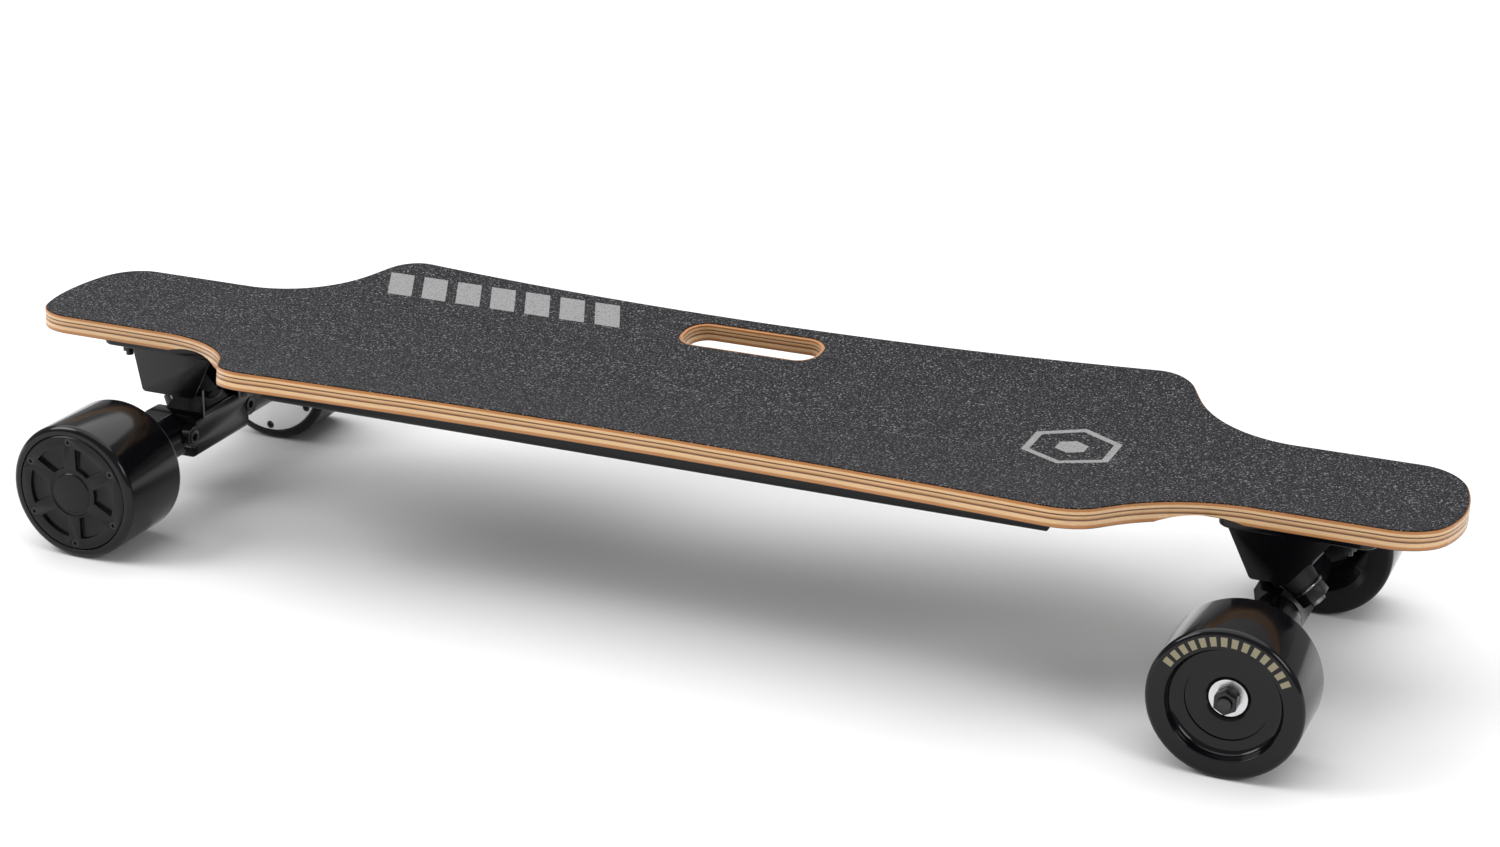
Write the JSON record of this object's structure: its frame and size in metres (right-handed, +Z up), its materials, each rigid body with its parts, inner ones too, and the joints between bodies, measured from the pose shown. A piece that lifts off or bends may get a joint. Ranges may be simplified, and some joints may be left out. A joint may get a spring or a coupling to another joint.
{
  "type": "electric skateboard",
  "caption": "Electric skateboard: double-drop-shaped maple deck, carrying slot, two steering trucks, plain front wheels, hub-motor rear wheels and an electronics tray underneath.",
  "frame": {"origin": "on the ground under the middle of the board", "axes": "+X to the nose, +Y to the rider's left, +Z up"},
  "size_m": [0.95, 0.297, 0.1361],
  "materials": {
    "maple": "clear-lacquered maple ply",
    "grip": "coarse mineral grit on tape",
    "tray": "moulded, fine texture",
    "foam": "closed-cell foam",
    "cell_wrap": "shrink sleeve",
    "circuit": "solder mask",
    "aluminium": "machined",
    "button": "smooth",
    "rubber": "moulded",
    "urethane": "cast urethane, semi-gloss",
    "tread": "cast urethane, glossy",
    "cast": "black powder coat on cast aluminium",
    "cover": "black satin anodised",
    "core": "glass-filled nylon",
    "steel": "zinc plated",
    "steel_dark": "black oxide",
    "bearing": "ground",
    "laminate": "stacked laminations",
    "copper": "enamelled copper",
    "magnet": "nickel plated"
  },
  "bodies": {
    "board": {"deck": "maple", "grip_tape": "grip", "battery_enclosure": "tray", "enclosure_gasket": "rubber", "enclosure_screws": "steel_dark", "battery_foam": "foam", "battery_cells": "cell_wrap", "cell_holders": "tray", "bms_board": "circuit", "motor_controller": "aluminium", "charge_socket": "tray", "cable_glands": "tray", "button_bezel": "steel", "riser_pads": "rubber", "front_baseplate": "cast", "rear_baseplate": "cast", "pivot_cups": "urethane", "front_upper_bushing": "urethane", "front_lower_bushing": "urethane", "rear_upper_bushing": "urethane", "rear_lower_bushing": "urethane", "kingpins": "steel", "kingpin_nuts": "steel_dark", "bushing_washers": "steel", "truck_bolts": "steel_dark", "truck_nuts": "steel_dark"},
    "front_truck": {"front_hanger": "cast", "front_axle": "steel", "front_axle_nuts": "steel_dark", "front_speed_washers": "steel", "front_bearing_spacers": "steel", "front_inner_races": "bearing"},
    "rear_truck": {"rear_hanger": "cast", "shaft_clamp_screws": "steel_dark", "motor_shafts": "steel", "motor_stators": "laminate", "motor_windings": "copper", "motor_inner_races": "bearing"},
    "power_button": {"power_button": "button"},
    "front_left_wheel": {"front_left_tyre": "tread", "front_left_core": "core", "front_left_bearings": "bearing"},
    "rear_left_wheel": {"rear_left_tyre": "tread", "rear_left_rotor_can": "steel", "rear_left_magnets": "magnet", "rear_left_inner_cover": "aluminium", "rear_left_outer_cover": "cover", "rear_left_cover_screws": "steel_dark", "rear_left_bearings": "bearing"},
    "front_right_wheel": {"front_right_tyre": "tread", "front_right_core": "core", "front_right_bearings": "bearing"},
    "rear_right_wheel": {"rear_right_tyre": "tread", "rear_right_rotor_can": "steel", "rear_right_magnets": "magnet", "rear_right_inner_cover": "aluminium", "rear_right_outer_cover": "cover", "rear_right_cover_screws": "steel_dark", "rear_right_bearings": "bearing"}
  },
  "joints": [
    {"name": "front_steer", "type": "hinge", "parent": "board", "child": "front_truck", "pos_m": [0.375, 0, 0.072], "axis": [0.7071, 0, 0.7071], "range_deg": [-20, 20], "stiffness_Nm_per_rad": 60, "deforming": ["front_upper_bushing", "front_lower_bushing"]},
    {"name": "rear_steer", "type": "hinge", "parent": "board", "child": "rear_truck", "pos_m": [-0.375, 0, 0.072], "axis": [-0.7071, 0, 0.7071], "range_deg": [-20, 20], "stiffness_Nm_per_rad": 60, "deforming": ["rear_upper_bushing", "rear_lower_bushing"]},
    {"name": "front_left_spin", "type": "hinge", "parent": "front_truck", "child": "front_left_wheel", "pos_m": [0.375, 0.121, 0.045], "axis": [0, 1, 0], "continuous": true},
    {"name": "front_right_spin", "type": "hinge", "parent": "front_truck", "child": "front_right_wheel", "pos_m": [0.375, -0.121, 0.045], "axis": [0, 1, 0], "continuous": true},
    {"name": "rear_left_spin", "type": "hinge", "parent": "rear_truck", "child": "rear_left_wheel", "pos_m": [-0.375, 0.11887, 0.045], "axis": [0, 1, 0], "continuous": true},
    {"name": "rear_right_spin", "type": "hinge", "parent": "rear_truck", "child": "rear_right_wheel", "pos_m": [-0.375, -0.11887, 0.045], "axis": [0, 1, 0], "continuous": true},
    {"name": "power_button_press", "type": "slide", "parent": "board", "child": "power_button", "axis": [0, -1, 0], "range_m": [0, 0.0015], "stiffness_N_per_m": 400}
  ]
}
